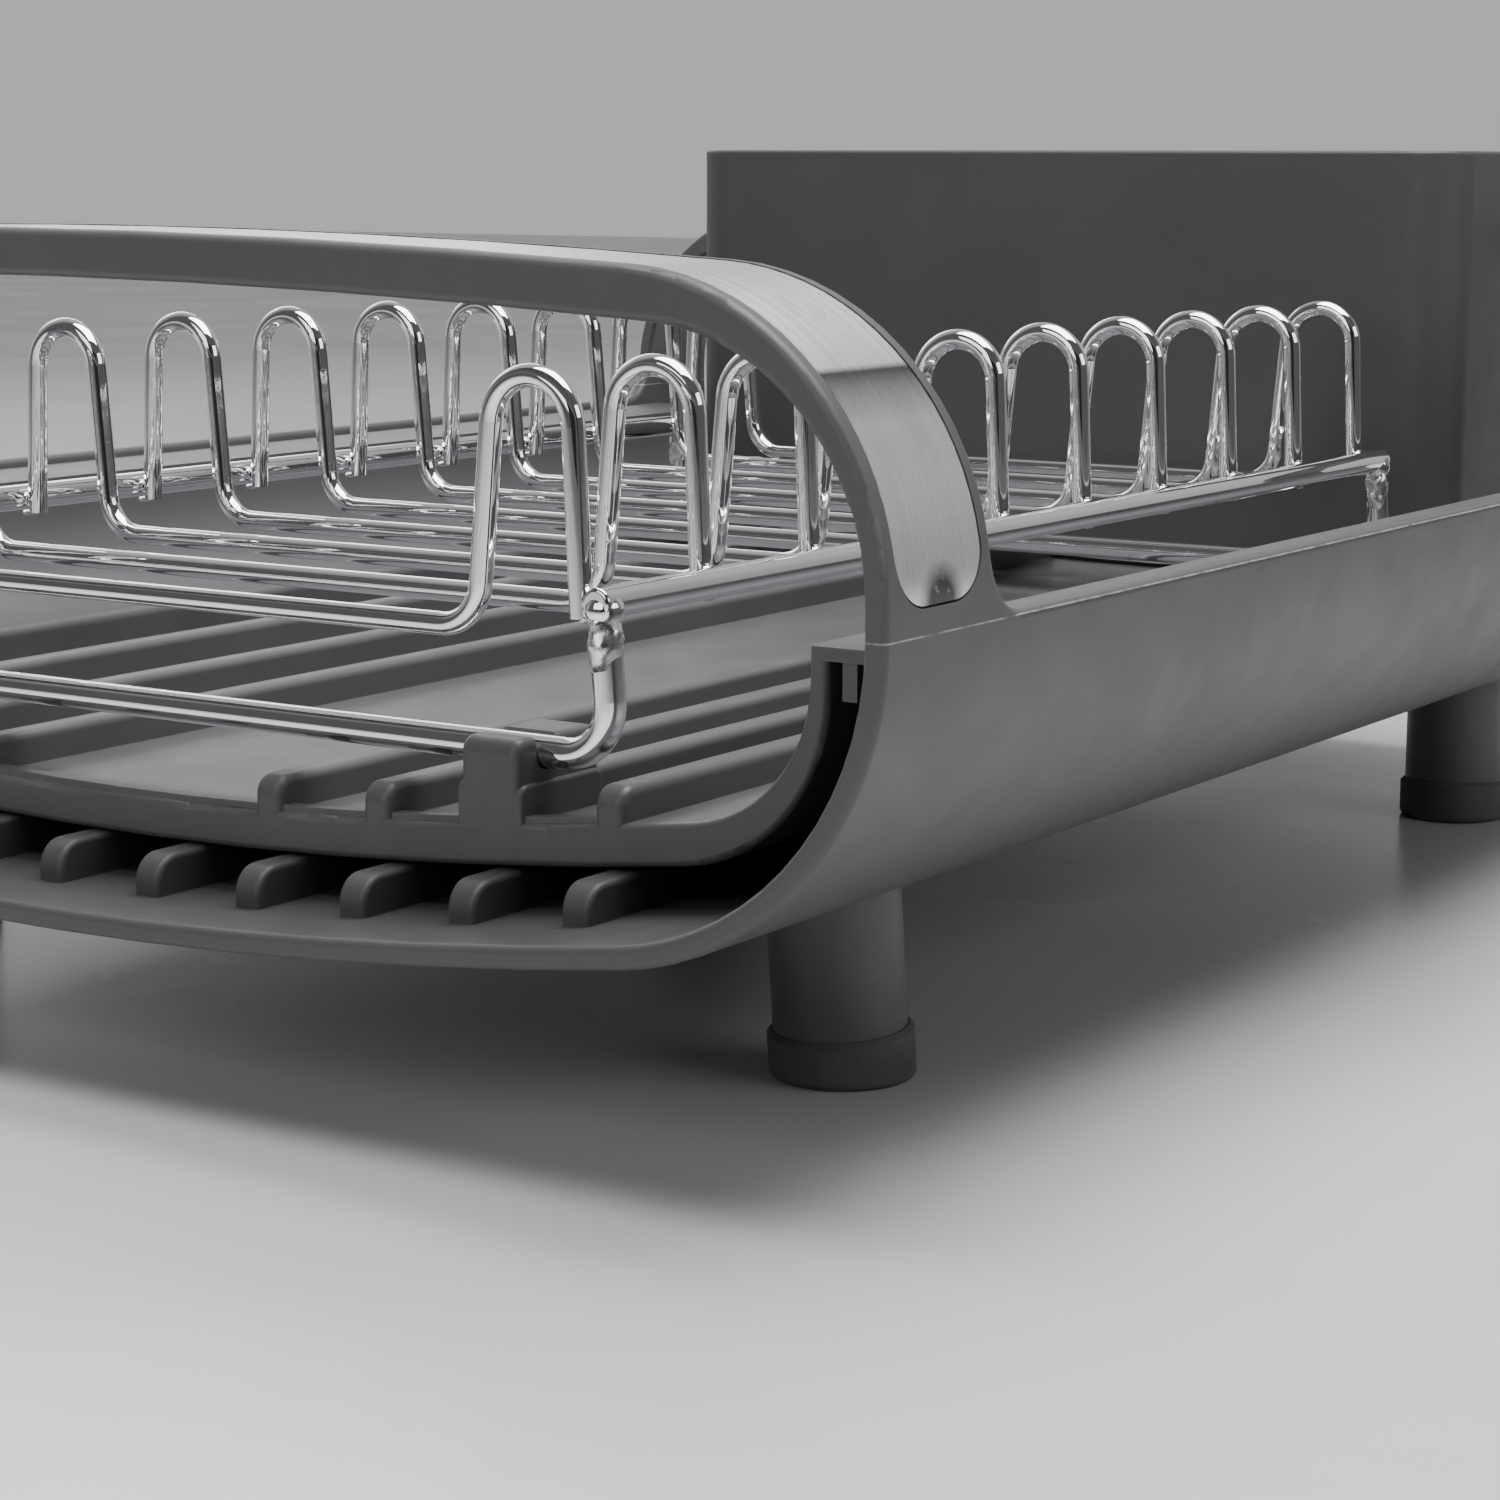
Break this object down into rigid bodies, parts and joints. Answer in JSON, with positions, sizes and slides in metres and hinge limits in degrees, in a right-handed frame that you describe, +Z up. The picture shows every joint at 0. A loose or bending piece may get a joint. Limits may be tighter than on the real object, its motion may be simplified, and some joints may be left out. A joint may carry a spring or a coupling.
{
  "type": "dish drying rack",
  "caption": "Dish drying rack: a hooped trough on legs holding a ribbed drainboard, a chrome wire plate rack and a utensil caddy.",
  "frame": {"origin": "on the worktop under the middle of the shell", "axes": "+X along the length towards the caddy, +Y to the back, +Z up"},
  "size_m": [0.537, 0.401, 0.186],
  "materials": {
    "shell_plastic": "fine matte moulded plastic, mid grey",
    "board_plastic": "satin moulded plastic, mid grey",
    "caddy_plastic": "satin moulded plastic, dark grey",
    "leg_plastic": "matte moulded plastic, mid grey",
    "chrome_wire": "bright chrome plate on steel wire",
    "brushed_insert": "stainless steel brushed along the handle",
    "cap_rubber": "soft dark grey rubber"
  },
  "bodies": {
    "shell": {"outer_shell": "shell_plastic", "handle_insert_left": "brushed_insert", "handle_insert_right": "brushed_insert", "leg_front_left": "leg_plastic", "leg_front_right": "leg_plastic", "leg_back_left": "leg_plastic", "leg_back_right": "leg_plastic", "foot_cap_front_left": "cap_rubber", "foot_cap_front_right": "cap_rubber", "foot_cap_back_left": "cap_rubber", "foot_cap_back_right": "cap_rubber"},
    "drainboard_body": {"drainboard": "board_plastic"},
    "wire_rack": {"plate_wire_01": "chrome_wire", "plate_wire_02": "chrome_wire", "plate_wire_03": "chrome_wire", "plate_wire_04": "chrome_wire", "plate_wire_05": "chrome_wire", "plate_wire_06": "chrome_wire", "plate_wire_07": "chrome_wire", "plate_wire_08": "chrome_wire", "plate_wire_09": "chrome_wire", "plate_wire_10": "chrome_wire", "rack_front_rail": "chrome_wire", "rack_back_rail": "chrome_wire", "rack_left_end_wire": "chrome_wire", "rack_right_end_wire": "chrome_wire"},
    "caddy": {"utensil_caddy": "caddy_plastic"}
  },
  "joints": [
    {"name": "drainboard_slide", "type": "slide", "parent": "shell", "child": "drainboard_body", "axis": [-1, 0, 0], "range_m": [0, 0.49]},
    {"name": "rack_lift", "type": "slide", "parent": "drainboard_body", "child": "wire_rack", "axis": [0, 0, 1], "range_m": [0, 0.13]},
    {"name": "caddy_lift", "type": "slide", "parent": "shell", "child": "caddy", "axis": [0, 0, 1], "range_m": [0, 0.13]}
  ]
}
